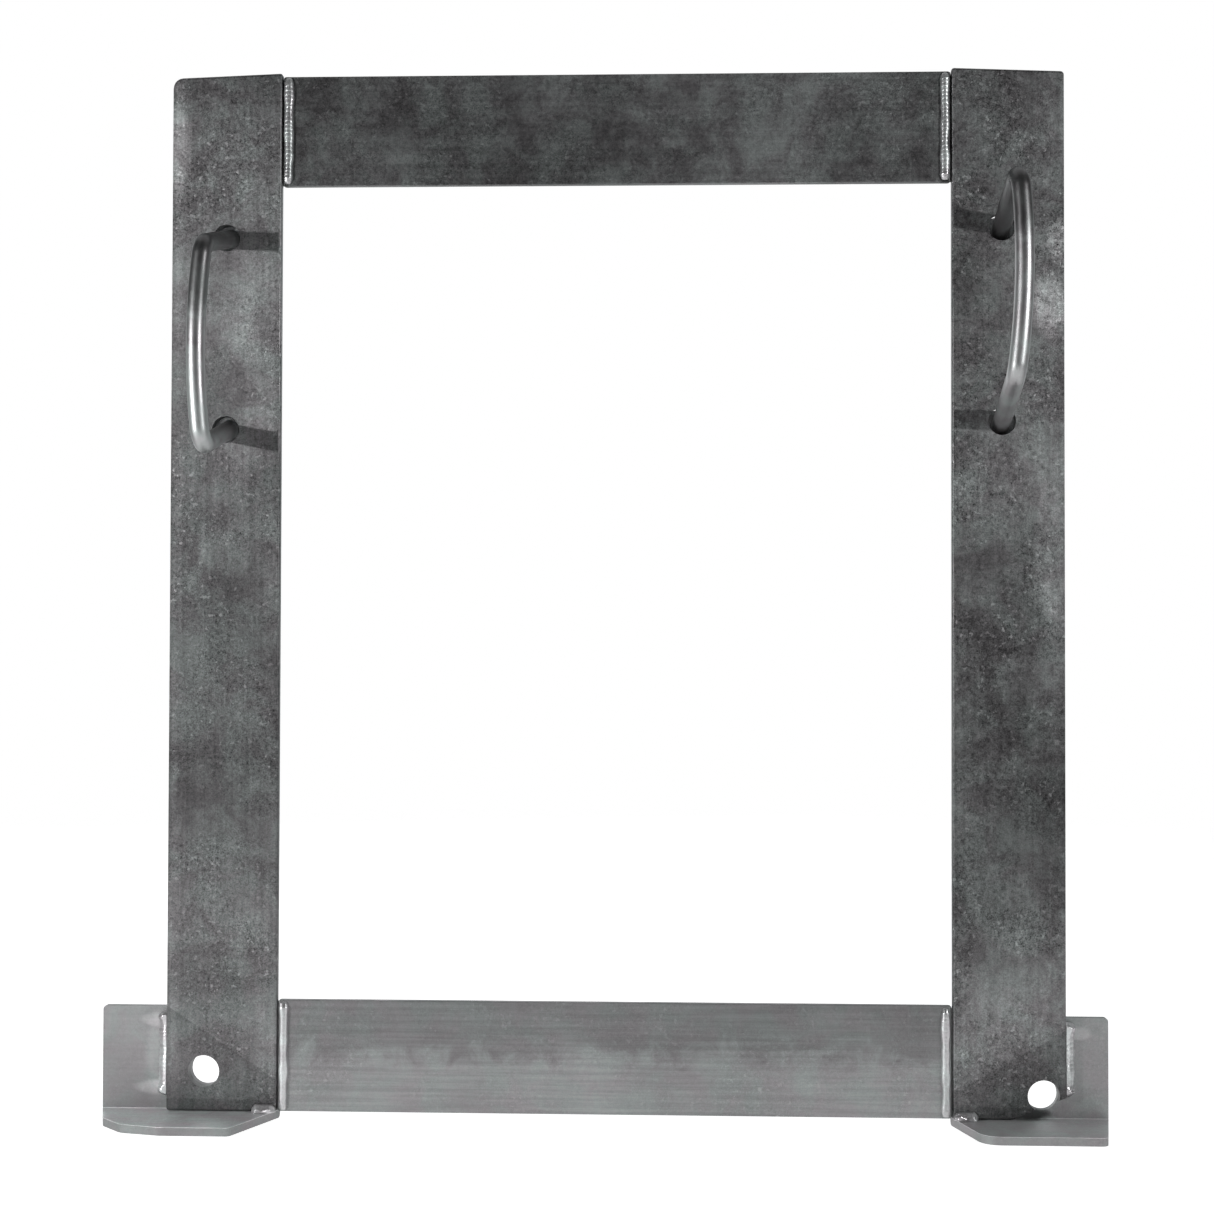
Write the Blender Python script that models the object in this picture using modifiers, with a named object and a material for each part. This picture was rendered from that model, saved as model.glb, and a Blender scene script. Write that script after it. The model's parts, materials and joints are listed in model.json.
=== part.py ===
"""A welded carrying frame of galvanised flat bar, with two loose U grips and two angle feet.

The frame stands up in the XZ plane and faces -Y. Its soles are at Z = 0, and the origin is the
middle of the bottom of its bounding box. Sizes are in metres.
"""

import math

import bmesh
import bpy
from mathutils import Matrix, Vector

OBJECT_NAME = "carrying_frame"
GAP = 0.0003  # left between pieces that touch

# Flat bar frame
BAR_WIDTH = 0.060
POST_THICKNESS = 0.006
RAIL_THICKNESS = 0.005
OPENING_WIDTH = 0.363
OPENING_HEIGHT = 0.442
BAR_EDGE_RADIUS = 0.0014
POST_INNER_RISE = 0.0018  # post top above the top rail, at the inner edge
POST_OUTER_DROP = 0.0005  # post top below the top rail, at the outer edge
POST_TOP_RADIUS = {"left": 0.0055, "right": 0.0018}
RIGHT_CUT_ACROSS = 0.0288  # slanted cut off the right post's lower outer corner
RIGHT_CUT_UP = 0.0120

# Feet, cut from angle bar
FOOT_THICKNESS = 0.0045
FOOT_HEIGHT = {"left": 0.0600, "right": 0.0582}
FOOT_OVERHANG = {"left": 0.0365, "right": 0.0235}  # past the post's outer edge
TOE_REACH = {"left": 0.0365, "right": 0.0355}  # in front of the post
# Corners of the toe's outer end: (in from the outer edge, back from the toe's front, radius)
TOE_OUTER_CORNERS = {
    "left": ((0.0068, 0.0200, 0.0060), (0.0200, 0.0055, 0.0080), (0.0420, 0.0, 0.0200)),
    "right": ((0.0088, 0.0, 0.0035),),
}
TOE_INNER_TAPER = {"left": 0.0175, "right": 0.0115}
TOE_INNER_RADIUS = {"left": 0.0030, "right": 0.0110}
FOOT_TOP_RADIUS = 0.0020
FOOT_EDGE_RADIUS = 0.0009
BOLT_HOLE_RADIUS = 0.0085
BOLT_OUT = {"left": 0.0097, "right": 0.0181}  # from the post's centre line, outwards
BOLT_HEIGHT = {"left": 0.0262, "right": 0.0175}

# Grips, bent from round bar. Their legs slope: the left grip droops to the front and the right
# one rises.
GRIP_RADIUS = 0.005
GRIP_SPACING = 0.1050  # between the legs, up the post
GRIP_REACH = 0.0600  # from the middle of the post to the middle of the bar
GRIP_SLOPE = {"left": math.radians(13.3), "right": math.radians(-17.3)}  # up towards the back
GRIP_BEND_RADIUS = 0.0075
GRIP_BOW = 0.0028  # the middle of the grip bows this far outwards
GRIP_ARCH = 0.0022  # and this far forwards
GRIP_LEAN = 0.0007  # the whole bar sits this far inwards
GRIP_TWIST = {"left": 0.0, "right": 0.0008}  # and its upper bend this far outwards again
GRIP_SAG = {"left": 0.0004, "right": 0.0006}  # legs below the middles of their holes
GRIP_HEIGHT = {"left": 0.4260, "right": 0.4298}
GRIP_OUT = {"left": 0.0, "right": -0.0033}  # from the post's centre line, outwards
GRIP_HOLE_RADIUS = 0.0074
GRIP_HOLE_SPACING = 0.1047
GRIP_END = 0.0141  # end of a leg behind the middle of the post, along the leg
WASHER_PLACE = 0.0071  # a washer's front face behind the middle of the post, along the leg
WASHER_RADIUS = 0.0110
WASHER_THICKNESS = 0.0025
RING_THICKNESS = 0.0030
RING_RADIUS = 0.0083

# Weld beads
CORNER_BEAD_WIDTH = 0.0066
CORNER_BEAD_HEIGHT = 0.0024
BACK_BEAD_WIDTH = 0.0085
BACK_BEAD_HEIGHT = 0.0018
CORNER_BEAD_LENGTH = 0.0580
FOOT_BEAD_LEG = 0.0055
FOOT_BEAD_LENGTH = {"left": 0.0460, "right": 0.0400}
REAR_BEAD_LEG = 0.0040
REAR_BEAD_LENGTH = 0.0480
TOE_BEAD_LEG = 0.0045
TOE_BEAD_LENGTH = 0.0130
BEAD_END_RADIUS = 0.0008

# Places worked out from the sizes above
SIDES = {"left": -1, "right": 1}
FRAME_X = (FOOT_OVERHANG["left"] - FOOT_OVERHANG["right"]) / 2
FRAME_Y = 0.0261  # middle of the posts' thickness
POST_FRONT = FRAME_Y - POST_THICKNESS / 2
POST_BACK = FRAME_Y + POST_THICKNESS / 2
RAIL_FRONT = POST_BACK - RAIL_THICKNESS
LEG_FRONT = POST_BACK + GAP
LEG_BACK = LEG_FRONT + FOOT_THICKNESS
POST_OFFSET = (OPENING_WIDTH + BAR_WIDTH) / 2
BAR_BOTTOM = FOOT_THICKNESS + GAP
OPENING_BOTTOM = BAR_BOTTOM + BAR_WIDTH
OPENING_TOP = OPENING_BOTTOM + OPENING_HEIGHT
FRAME_TOP = OPENING_TOP + BAR_WIDTH

# Object rotations that stand a flat XY outline up: its X and Y point along the named world axes
FACE_FRONT = (math.pi / 2, 0, 0)  # X and Z
FACE_SIDE = (math.pi / 2, 0, math.pi / 2)  # Y and Z
FLAT = (0, 0, 0)  # X and Y


def new_collection(name):
    """An empty collection linked to the scene."""
    collection = bpy.data.collections.new(name)
    bpy.context.scene.collection.children.link(collection)
    return collection


def zinc(name, colour, roughness):
    """A galvanised steel material."""
    material = bpy.data.materials.new(name)
    material.use_nodes = True
    shader = material.node_tree.nodes["Principled BSDF"]
    shader.inputs["Base Color"].default_value = (*colour, 1)
    shader.inputs["Roughness"].default_value = roughness
    shader.inputs["Metallic"].default_value = 0.9
    return material


def add_object(name, data, collection, material=None):
    """Links a new object and gives it its material."""
    piece = bpy.data.objects.new(name, data)
    collection.objects.link(piece)
    if material:
        data.materials.append(material)
    return piece


def arc(centre, radius, start, end, steps):
    """Points on an arc, both ends included, angles in radians."""
    angles = [start + (end - start) * i / steps for i in range(steps + 1)]
    return [(centre[0] + radius * math.cos(a), centre[1] + radius * math.sin(a)) for a in angles]


def rounded(corners, steps=5):
    """A closed outline whose corners (x, y, radius) are rounded by arcs."""
    outline = []
    for i, (x, y, radius) in enumerate(corners):
        corner = Vector((x, y))
        if not radius:
            outline.append((x, y))
            continue
        back = (Vector(corners[i - 1][:2]) - corner).normalized()
        ahead = (Vector(corners[(i + 1) % len(corners)][:2]) - corner).normalized()
        half_angle = back.angle(ahead) / 2
        centre = corner + (back + ahead).normalized() * radius / math.sin(half_angle)
        start = corner + back * radius / math.tan(half_angle) - centre
        end = corner + ahead * radius / math.tan(half_angle) - centre
        turn = start.angle_signed(end)
        first = math.atan2(start.y, start.x)
        outline += arc(centre, radius, first, first - turn, steps)
    return outline


def flat_curve(name, outlines, thickness):
    """A filled 2D curve of closed outlines: the first is the edge, the others are holes."""
    curve = bpy.data.curves.new(name, "CURVE")
    curve.dimensions = "2D"
    curve.fill_mode = "BOTH"
    curve.extrude = thickness / 2
    for outline in outlines:
        spline = curve.splines.new("POLY")
        spline.points.add(len(outline) - 1)
        for point, (x, y) in zip(spline.points, outline):
            point.co = (x, y, 0, 1)
        spline.use_cyclic_u = True
    return curve


def as_mesh(piece):
    """Turns a curve object into a mesh object with the same name and place, its caps welded on."""
    bpy.context.view_layer.update()
    evaluated = piece.evaluated_get(bpy.context.evaluated_depsgraph_get())
    mesh = bpy.data.meshes.new_from_object(evaluated)
    work = bmesh.new()
    work.from_mesh(mesh)
    bmesh.ops.remove_doubles(work, verts=work.verts, dist=0.00001)
    work.to_mesh(mesh)
    work.free()
    name = piece.name
    collection = piece.users_collection[0]
    place = piece.matrix_world.copy()
    bpy.data.objects.remove(piece)
    solid = add_object(name, mesh, collection)
    solid.matrix_world = place
    return solid


def plate(name, outlines, thickness, location, rotation, collection, material=None):
    """A solid with a flat outline and an even thickness, centred on its location."""
    piece = add_object(name, flat_curve(name, outlines, thickness), collection, material)
    piece.location = location
    piece.rotation_euler = rotation
    return as_mesh(piece)


def cut(piece, cutter, operation="DIFFERENCE"):
    """Adds an exact Boolean."""
    boolean = piece.modifiers.new(cutter.name, "BOOLEAN")
    boolean.operation = operation
    boolean.object = cutter
    boolean.solver = "EXACT"


def round_edges(piece, width, segments=2):
    """Rounds the sharp edges."""
    bevel = piece.modifiers.new("edges", "BEVEL")
    bevel.width = width
    bevel.segments = segments
    bevel.limit_method = "ANGLE"
    bevel.angle_limit = math.radians(40)


def as_cutter(piece):
    """Marks a piece as a cutter, which isn't part of the object."""
    piece.hide_render = True
    piece.display_type = "WIRE"
    return piece


def turned(name, profile, steps, collection, material):
    """A solid turned about its own Z axis from a closed profile of (radius, height) points."""
    mesh = bpy.data.meshes.new(name)
    work = bmesh.new()
    points = [work.verts.new((radius, 0, height)) for radius, height in profile]
    for i, point in enumerate(points):
        work.edges.new((point, points[(i + 1) % len(points)]))
    work.to_mesh(mesh)
    work.free()
    piece = add_object(name, mesh, collection, material)
    screw = piece.modifiers.new("turn", "SCREW")
    screw.steps = steps
    screw.render_steps = steps
    screw.use_merge_vertices = True
    screw.merge_threshold = 0.00001
    return piece


def drill(name, radius, x, z, collection):
    """A round cutter that goes through the whole frame along Y."""
    bpy.ops.mesh.primitive_cylinder_add(
        vertices=40,
        radius=radius,
        depth=4 * (POST_THICKNESS + FOOT_THICKNESS),
        location=(x, FRAME_Y, z),
        rotation=FACE_FRONT,
    )
    cutter = bpy.context.object
    cutter.name = name
    for owner in cutter.users_collection:
        owner.objects.unlink(cutter)
    collection.objects.link(cutter)
    return as_cutter(cutter)


def make_drills(side, collection):
    """The drill for a bolt hole, through a post and the foot behind it, and two for a grip."""
    sign = SIDES[side]
    bolt_x = FRAME_X + sign * (POST_OFFSET + BOLT_OUT[side])
    bolt = drill(f"{side}_bolt_drill", BOLT_HOLE_RADIUS, bolt_x, BOLT_HEIGHT[side], collection)
    grip_x = FRAME_X + sign * (POST_OFFSET + GRIP_OUT[side])
    grips = [
        drill(
            f"{side}_grip_{end}_drill",
            GRIP_HOLE_RADIUS,
            grip_x,
            GRIP_HEIGHT[side] + step * GRIP_HOLE_SPACING / 2,
            collection,
        )
        for end, step in (("upper", 1), ("lower", -1))
    ]
    return bolt, grips


def make_post(side, drills, parts, material):
    """One post: an upright bar with a sloping sawn top, two grip holes and a bolt hole."""
    sign = SIDES[side]
    half = BAR_WIDTH / 2
    height = FRAME_TOP - BAR_BOTTOM
    corners = [
        (-half * sign, 0, 0),
        (-half * sign, height + POST_INNER_RISE, 0),
        (half * sign, height - POST_OUTER_DROP, POST_TOP_RADIUS[side]),
    ]
    if side == "right":
        corners += [(half * sign, RIGHT_CUT_UP, 0), ((half - RIGHT_CUT_ACROSS) * sign, 0, 0)]
    else:
        corners += [(half * sign, 0, 0)]
    location = (FRAME_X + sign * POST_OFFSET, FRAME_Y, BAR_BOTTOM)
    outline = rounded(corners)
    post = plate(f"{side}_post", [outline], POST_THICKNESS, location, FACE_FRONT, parts)
    post.data.materials.append(material)
    round_edges(post, BAR_EDGE_RADIUS, 3)
    for drill_object in drills:
        cut(post, drill_object)


def make_rail(name, bottom, parts, material):
    """One rail: a bar between the posts, flush with their backs."""
    half = OPENING_WIDTH / 2 - GAP
    corners = [(-half, 0, 0), (half, 0, 0), (half, BAR_WIDTH, 0), (-half, BAR_WIDTH, 0)]
    location = (FRAME_X, RAIL_FRONT + RAIL_THICKNESS / 2, bottom)
    rail = plate(name, [rounded(corners)], RAIL_THICKNESS, location, FACE_FRONT, parts)
    rail.data.materials.append(material)
    round_edges(rail, BAR_EDGE_RADIUS, 3)


def make_foot(side, bolt_drill, parts, cutters, material):
    """One foot: an angle bar whose toe is narrower at the front, drilled with its post."""
    sign = SIDES[side]
    toe_front = POST_FRONT - TOE_REACH[side]
    depth = LEG_BACK - toe_front
    outer = POST_OFFSET + BAR_WIDTH / 2 + FOOT_OVERHANG[side]
    inner = POST_OFFSET - BAR_WIDTH / 2
    middle = FRAME_X + sign * (outer + inner) / 2
    half = (outer - inner) / 2

    section = [
        (0, 0, 0),
        (0, FOOT_THICKNESS, 0),
        (depth - FOOT_THICKNESS, FOOT_THICKNESS, 0),
        (depth - FOOT_THICKNESS, FOOT_HEIGHT[side], 0),
        (depth, FOOT_HEIGHT[side], 0),
        (depth, 0, FOOT_THICKNESS / 2),
    ]
    foot = plate(
        f"{side}_foot", [rounded(section)], 2 * half, (middle, toe_front, 0), FACE_SIDE, parts
    )
    foot.data.materials.append(material)

    margin = 0.01
    outer_corners = [
        (sign * (half - inwards), back, radius)
        for inwards, back, radius in TOE_OUTER_CORNERS[side]
    ]
    plan = [
        (sign * half, depth + margin, 0),
        (sign * half, depth - FOOT_THICKNESS, 0),
        *outer_corners,
        (sign * (TOE_INNER_TAPER[side] - half), 0, TOE_INNER_RADIUS[side]),
        (-sign * half, depth - FOOT_THICKNESS, 0),
        (-sign * half, depth + margin, 0),
    ]
    plan_place = (middle, toe_front, 0)
    toe_cutter = plate(f"{side}_toe_plan", [rounded(plan)], 0.2, plan_place, FLAT, cutters)
    cut(foot, as_cutter(toe_cutter), "INTERSECT")

    low = -margin
    face = [
        (-half, low, 0),
        (half, low, 0),
        (half, FOOT_HEIGHT[side], FOOT_TOP_RADIUS),
        (-half, FOOT_HEIGHT[side], FOOT_TOP_RADIUS),
    ]
    face_place = (middle, FRAME_Y, 0)
    leg_cutter = plate(f"{side}_leg_face", [rounded(face)], 0.3, face_place, FACE_FRONT, cutters)
    cut(foot, as_cutter(leg_cutter), "INTERSECT")
    cut(foot, bolt_drill)
    round_edges(foot, FOOT_EDGE_RADIUS)


def leg_point(side, step, along):
    """A point on the middle of a leg: step is 1 for the upper one, along runs backwards."""
    slope = GRIP_SLOPE[side]
    return along * math.cos(slope), step * GRIP_SPACING / 2 + along * math.sin(slope)


def grip_path(side):
    """Points along the middle of a grip's bar, from its upper end to its lower end.

    The origin is halfway between the legs in the middle of the post's thickness.
    """
    sign = SIDES[side]
    half = GRIP_SPACING / 2
    bend = -GRIP_REACH / math.cos(GRIP_SLOPE[side])
    upper = rounded([
        (*leg_point(side, 1, GRIP_END), 0),
        (*leg_point(side, 1, bend), GRIP_BEND_RADIUS),
        (*leg_point(side, -1, bend), GRIP_BEND_RADIUS),
        (*leg_point(side, -1, GRIP_END), 0),
    ], 8)
    turn = len(upper) // 2
    first, last = upper[turn - 1], upper[turn]
    steps = 8
    grip = [
        (-GRIP_REACH, first[1] + (last[1] - first[1]) * i / steps) for i in range(1, steps)
    ]
    middle = (first[1] + last[1]) / 2
    path = []
    for y, z in upper[:turn] + grip + upper[turn:]:
        height = max(-1, min(1, (z - middle) / half))
        reach = max(0, -y / GRIP_REACH)
        in_bend = max(0, 1 - (1 - reach) * GRIP_REACH / GRIP_BEND_RADIUS)
        swell = (1 - height**2) * in_bend
        twist = GRIP_TWIST[side] * height
        x = sign * (GRIP_BOW * swell + (twist - GRIP_LEAN) * reach)
        path.append((x, y - GRIP_ARCH * swell, z))
    return path


def make_grip(side, parts, bar_material, washer_material, weld_material):
    """One grip with its washers and weld rings, all carried by an empty that it slides with."""
    sign = SIDES[side]
    axis = bpy.data.objects.new(f"{side}_grip_axis", None)
    parts.objects.link(axis)
    out = POST_OFFSET + GRIP_OUT[side]
    axis.location = (FRAME_X + sign * out, FRAME_Y, GRIP_HEIGHT[side] - GRIP_SAG[side])

    curve = bpy.data.curves.new(f"{side}_grip", "CURVE")
    curve.dimensions = "3D"
    curve.bevel_depth = GRIP_RADIUS
    curve.bevel_resolution = 6
    curve.use_fill_caps = True
    path = grip_path(side)
    spline = curve.splines.new("POLY")
    spline.points.add(len(path) - 1)
    for point, place in zip(spline.points, path):
        point.co = (*place, 1)
    spline.use_smooth = True
    grip = add_object(f"{side}_grip", curve, parts, bar_material)
    grip.parent = axis

    hole = GRIP_RADIUS + GAP
    chamfer = 0.0004
    washer = [
        (WASHER_RADIUS - chamfer, WASHER_THICKNESS),
        (WASHER_RADIUS, WASHER_THICKNESS - chamfer),
        (WASHER_RADIUS, chamfer),
        (WASHER_RADIUS - chamfer, 0),
        (hole, 0),
        (hole, WASHER_THICKNESS),
    ]
    crown = 0.4 * RING_THICKNESS
    ring = [
        (hole + 0.0006, RING_THICKNESS),
        (RING_RADIUS - 0.0012, RING_THICKNESS - crown),
        (RING_RADIUS, 0.0006),
        (RING_RADIUS, 0),
        (hole, 0),
        (hole, RING_THICKNESS),
    ]
    ring_place = WASHER_PLACE + WASHER_THICKNESS + GAP
    for end, step in (("upper", 1), ("lower", -1)):
        pieces = (
            (f"{side}_grip_{end}_washer", washer, WASHER_PLACE, washer_material),
            (f"{side}_grip_{end}_weld", ring, ring_place, weld_material),
        )
        for name, profile, place, material in pieces:
            piece = turned(name, profile, 32, parts, material)
            piece.parent = axis
            piece.location = (0, *leg_point(side, step, place))
            piece.rotation_euler = (GRIP_SLOPE[side] - math.pi / 2, 0, 0)


def crown_outline(width, height):
    """A flat-bottomed bead: half an ellipse."""
    points = arc((0, 0), 1, 0, math.pi, 10)
    return [(x * width / 2, y * height) for x, y in points]


def corner_outline(leg):
    """A bead that fills a square corner, its face slightly proud."""
    face = arc((0, 0), leg * 0.78, math.radians(20), math.radians(70), 4)
    return [(0, 0), (leg, 0), *face, (0, leg)]


def make_bead(name, outline, length, place, turn, parts, material):
    """A weld bead along its own Z axis, turned and then placed by its middle."""
    bead = plate(name, [outline], length, (0, 0, 0), FLAT, parts)
    bead.data.materials.append(material)
    bead.matrix_world = Matrix.Translation(place) @ turn.to_4x4()
    round_edges(bead, BEAD_END_RADIUS)


def axes_to(x_axis, y_axis):
    """A rotation that takes an outline's X and Y to the given world directions."""
    x_axis = Vector(x_axis)
    y_axis = Vector(y_axis)
    return Matrix((x_axis, y_axis, x_axis.cross(y_axis))).transposed()


def make_beads(parts, material):
    """All the weld beads that hold the frame and the feet together."""
    front = crown_outline(CORNER_BEAD_WIDTH, CORNER_BEAD_HEIGHT)
    back = crown_outline(BACK_BEAD_WIDTH, BACK_BEAD_HEIGHT)
    joint = OPENING_WIDTH / 2
    # The upper back beads straddle the joint. The feet cover it below, so those are beside it.
    corners = {
        "top": (OPENING_TOP + BAR_WIDTH / 2, joint),
        "bottom": (BAR_BOTTOM + BAR_WIDTH / 2, joint - GAP - BACK_BEAD_WIDTH / 2),
    }
    for side, sign in SIDES.items():
        for end, (z, back_x) in corners.items():
            place = (FRAME_X + sign * (joint - GAP - CORNER_BEAD_WIDTH / 2), RAIL_FRONT - GAP, z)
            turn = axes_to((1, 0, 0), (0, -1, 0))
            name = f"{end}_{side}_front_weld"
            make_bead(name, front, CORNER_BEAD_LENGTH, place, turn, parts, material)
            place = (FRAME_X + sign * back_x, POST_BACK + GAP, z)
            turn = axes_to((1, 0, 0), (0, 1, 0))
            name = f"{end}_{side}_back_weld"
            make_bead(name, back, CORNER_BEAD_LENGTH, place, turn, parts, material)

        edge = FRAME_X + sign * (POST_OFFSET + BAR_WIDTH / 2 + GAP)
        length = FOOT_BEAD_LENGTH[side]
        z = FOOT_HEIGHT[side] - length / 2 - 0.002
        turn = axes_to((sign, 0, 0), (0, -1, 0))
        outline = corner_outline(FOOT_BEAD_LEG)
        place = (edge, LEG_FRONT - GAP, z)
        make_bead(f"{side}_foot_side_weld", outline, length, place, turn, parts, material)

        x = FRAME_X + sign * POST_OFFSET
        place = (x, POST_BACK + GAP, FOOT_HEIGHT[side] + GAP)
        turn = axes_to((0, 1, 0), (0, 0, 1))
        outline = corner_outline(REAR_BEAD_LEG)
        make_bead(f"{side}_foot_rear_weld", outline, REAR_BEAD_LENGTH, place, turn, parts, material)

        x = FRAME_X + sign * (POST_OFFSET - BAR_WIDTH / 2 + GAP + TOE_BEAD_LENGTH / 2)
        place = (x, POST_FRONT - GAP, FOOT_THICKNESS + GAP)
        turn = axes_to((0, -1, 0), (0, 0, 1))
        outline = corner_outline(TOE_BEAD_LEG)
        make_bead(f"{side}_foot_toe_weld", outline, TOE_BEAD_LENGTH, place, turn, parts, material)


def main():
    for old in list(bpy.data.objects):
        bpy.data.objects.remove(old)
    parts = new_collection(OBJECT_NAME)
    cutters = new_collection("cutters")

    posts = {side: zinc(f"{side}_post_zinc", (0.24, 0.25, 0.26), 0.42) for side in SIDES}
    top = zinc("top_rail_zinc", (0.17, 0.18, 0.18), 0.45)
    bottom = zinc("bottom_rail_zinc", (0.34, 0.36, 0.37), 0.40)
    feet = {side: zinc(f"{side}_foot_zinc", (0.40, 0.43, 0.43), 0.38) for side in SIDES}
    bar = zinc("grip_zinc", (0.50, 0.52, 0.52), 0.25)
    washer = zinc("washer_zinc", (0.45, 0.46, 0.47), 0.35)
    weld = zinc("weld_zinc", (0.58, 0.60, 0.60), 0.35)

    for side in SIDES:
        bolt_drill, grip_drills = make_drills(side, cutters)
        make_post(side, [bolt_drill, *grip_drills], parts, posts[side])
        make_foot(side, bolt_drill, parts, cutters, feet[side])
        make_grip(side, parts, bar, washer, weld)
    make_rail("top_rail", OPENING_TOP, parts, top)
    make_rail("bottom_rail", BAR_BOTTOM, parts, bottom)
    make_beads(parts, weld)


main()
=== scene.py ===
"""The looks of the welded carrying frame: galvanised bars, rippled weld beads and smooth grips."""

import json
import math

import bmesh
import bpy
from mathutils import Matrix, Vector, noise


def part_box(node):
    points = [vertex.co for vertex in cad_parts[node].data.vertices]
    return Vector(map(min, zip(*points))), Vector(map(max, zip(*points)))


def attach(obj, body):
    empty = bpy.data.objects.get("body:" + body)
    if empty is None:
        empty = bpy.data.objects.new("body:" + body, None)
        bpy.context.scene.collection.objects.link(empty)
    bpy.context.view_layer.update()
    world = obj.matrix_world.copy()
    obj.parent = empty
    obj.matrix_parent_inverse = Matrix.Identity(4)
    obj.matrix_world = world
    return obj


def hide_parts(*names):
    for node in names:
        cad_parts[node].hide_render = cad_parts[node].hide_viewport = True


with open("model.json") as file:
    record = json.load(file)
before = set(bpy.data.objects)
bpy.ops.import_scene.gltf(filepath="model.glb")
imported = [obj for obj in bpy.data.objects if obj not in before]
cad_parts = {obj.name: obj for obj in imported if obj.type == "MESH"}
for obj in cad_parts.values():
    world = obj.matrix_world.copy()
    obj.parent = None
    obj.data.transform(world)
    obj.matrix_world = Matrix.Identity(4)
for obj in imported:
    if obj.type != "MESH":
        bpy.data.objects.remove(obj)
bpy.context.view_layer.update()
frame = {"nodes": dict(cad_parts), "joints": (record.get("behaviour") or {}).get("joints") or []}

SIDES = {"left": -1, "right": 1}
MM = 0.001
CAD_GAP = 0.3 * MM  # between pieces that touch

# Camera, in front of the frame and a little right of its middle
CAMERA_PLACE = (0.0447, -1.0539, 0.2545)
CAMERA_YAW = math.radians(2.22)
CAMERA_PITCH = math.radians(1.222)
CAMERA_ROLL = math.radians(-0.146)
CAMERA_LENS = 59.31

# Grips: bent round bar. A grip's own origin is halfway between its legs, in the middle of the
# post's thickness, and lengths along a leg are counted from there, backwards.
GRIP_RADIUS = 5 * MM
GRIP_REACH = 60 * MM
GRIP_BEND_RADIUS = 7.5 * MM
GRIP_BOW = 2.8 * MM
GRIP_ARCH = 2.2 * MM
GRIP_LEAN = 0.7 * MM
GRIP_TWIST = {"left": 0.0, "right": 0.8 * MM}
GRIP_END = 14.1 * MM
WASHER_PLACE = 7.1 * MM
WASHER_THICKNESS = 2.5 * MM
WASHER_RADIUS = 11 * MM
RING_RADIUS = 8.3 * MM
RING_THICKNESS = 3 * MM

GRIP_SIDES = 40  # points round the bar
GRIP_RUN_STEPS = 24  # points along each straight run
GRIP_UNEVEN = 0.06 * MM  # how far the zinc's thickness varies
GRIP_UNEVEN_SCALE = 160  # waves of that per metre
GRIP_END_EASE = 0.6 * MM  # rounding of the cut ends
GRIP_END_FACE = 0.80  # flat part of a cut end, of its width
TURNED_SIDES = 56  # points round a washer or a weld ring

FRAME_MIDDLE = 6.5 * MM  # x of the middle of the rails
POST_OFFSET = 211.5 * MM  # from there to a post's centre line

# Plates that keep the CAD outline, with the record's slot for each
PLATE_SLOTS = {
    "left_post": "post_zinc",
    "right_post": "post_zinc",
    "top_rail": "top_rail_zinc",
    "bottom_rail": "bottom_rail_zinc",
    "left_foot": "foot_zinc",
    "right_foot": "foot_zinc",
}
MERGE_DISTANCE = 1e-6  # points closer than this are one
SAME_FACE_ANGLE = math.radians(50)  # faces turned less than this share a corner's shading

# Weld beads
BEAD_PITCH = 2.3 * MM  # between ripples
BEAD_STEP = 0.22 * MM  # between rings of the mesh
BEAD_COLUMNS = 18  # steps across
BEAD_TAPER = 3.0 * MM  # length of the thinning ends
BEAD_KNOB = 0.22  # how much a fillet bead swells near its ends
BEAD_KNOB_WIDTH = 2.4 * MM
SINK = 0.25 * MM  # how far a bead runs into the bars it joins

# The zinc's noise fields: cells per metre, octaves, roughness, distortion
FIELDS = {
    "clouds": (9, 5, 0.60, 0.6),
    "gritty": (17, 5, 0.70, 0.8),
    "blotches": (48, 6, 0.65, 0.5),
    "crumbs": (260, 3, 0.70, 0.0),
    "scratches": (300, 2, 0.50, 0.25),
    "specks": (380, 2, 0.50, 0.0),
    "drawn": (420, 4, 0.60, 0.0),
    "grain": (560, 3, 0.75, 0.0),
    "fine": (1500, 2, 0.60, 0.0),
}
DRAWN_STRETCH = {"X": (0.03, 1, 1), "Z": (1, 1, 0.03)}  # rolled marks run along the bar
SCRATCH_STRETCH = (1, 1, 0.018)
ZINC_TINTS = ((1.02, 0.98, 1.01), (0.95, 1.01, 1.0))  # a warmer and a cooler grey
ZINC_DARKEST = 0.15  # of a zinc's own brightness
RELIEF_HEIGHT = 0.22 * MM

# Stage, as distances from the middle of the floor
FLOOR_RADIUS = 3.0
FLOOR_DROP = 0.4 * MM  # below the soles
FLOOR_FADE = (0.6, 2.2)  # from solid to clear
FLOOR_DIM = (0.25, 1.2)  # its light on the metal falls off
FLOOR_GLOW = 0.55  # what the floor gives the metal
FLOOR_WHITE = 0.85  # what it gives the eye, to be white

# The room's brightness for the metal
ROOM_LOW = 0.22
ROOM_HIGH = 0.02
ROOM_BEHIND = 0.45


# ---------------------------------------------------------------- node helpers


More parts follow.
